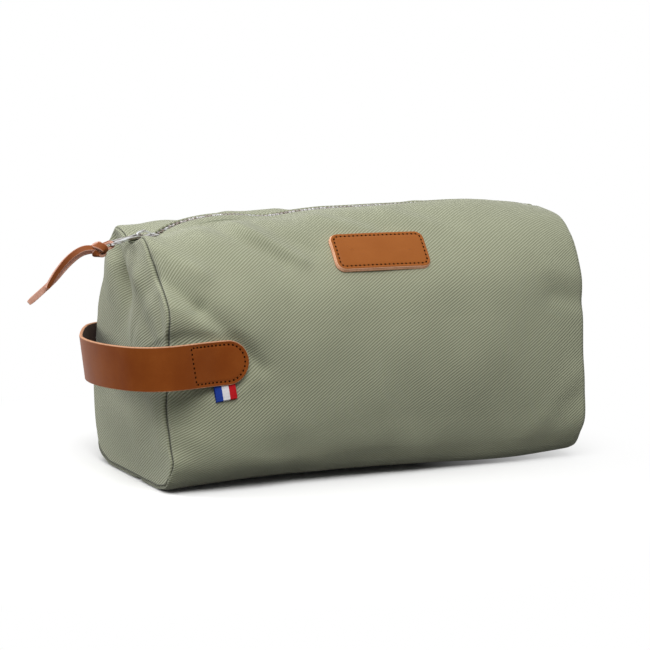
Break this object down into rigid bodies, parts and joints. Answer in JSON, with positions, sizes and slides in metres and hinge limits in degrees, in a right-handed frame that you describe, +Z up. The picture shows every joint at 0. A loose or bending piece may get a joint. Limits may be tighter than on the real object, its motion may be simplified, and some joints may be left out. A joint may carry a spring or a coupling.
{
  "type": "toiletry bag",
  "caption": "Soft canvas wash bag with a zipped top, tucked ends, a leather side handle, a bare leather patch and a laced zip pull.",
  "frame": {"origin": "on the resting surface, under the middle of the bag's body", "axes": "+X along the zip, from its closed end with the handle to its other end; -Y is the front with the patch; +Z up"},
  "size_m": [0.3339, 0.1407, 0.1558],
  "materials": {
    "canvas": "sage green cotton twill",
    "lining": "plain woven lining",
    "tape": "woven zip tape",
    "zip_metal": "bright nickel",
    "leather": "smooth cognac leather with raw edges",
    "lace": "brown leather lace with a pale flesh side",
    "thread": "dark brown sewing thread",
    "ribbon": "woven ribbon with plain stripes"
  },
  "bodies": {
    "root": {"front_panel": "canvas", "back_panel": "canvas", "left_gusset": "canvas", "right_gusset": "canvas", "front_lining": "lining", "back_lining": "lining", "left_lining": "lining", "right_lining": "lining", "zip_tape_front": "tape", "zip_tape_back": "tape", "zip_teeth_front": "zip_metal", "zip_teeth_back": "zip_metal", "zip_top_stops": "zip_metal", "zip_bottom_stop": "zip_metal", "handle_strap": "leather", "handle_stitching_front": "thread", "handle_stitching_back": "thread", "leather_patch": "leather", "patch_stitching": "thread", "ribbon_tab": "ribbon"},
    "slider": {"zip_slider": "zip_metal"},
    "pull": {"zip_pull": "zip_metal"},
    "lace": {"lace_loop": "lace", "lace_knot": "lace", "lace_tail_long": "lace", "lace_tail_short": "lace"}
  },
  "joints": [
    {"name": "zip_travel", "type": "hinge", "parent": "root", "child": "slider", "pos_m": [0.03155, 0, -0.94598], "axis": [0, 1, 0], "range_deg": [0, 12.56], "deforming": ["zip_teeth_front", "zip_teeth_back", "zip_tape_front", "zip_tape_back"]},
    {"name": "pull_swing", "type": "hinge", "parent": "slider", "child": "pull", "pos_m": [-0.12855, 0, 0.14468], "axis": [0, 1, 0], "range_deg": [0, 150]},
    {"name": "lace_swing", "type": "hinge", "parent": "pull", "child": "lace", "pos_m": [-0.14773, 0, 0.14061], "axis": [0, 1, 0], "range_deg": [-25, 50], "deforming": ["lace_tail_long", "lace_tail_short"]}
  ]
}
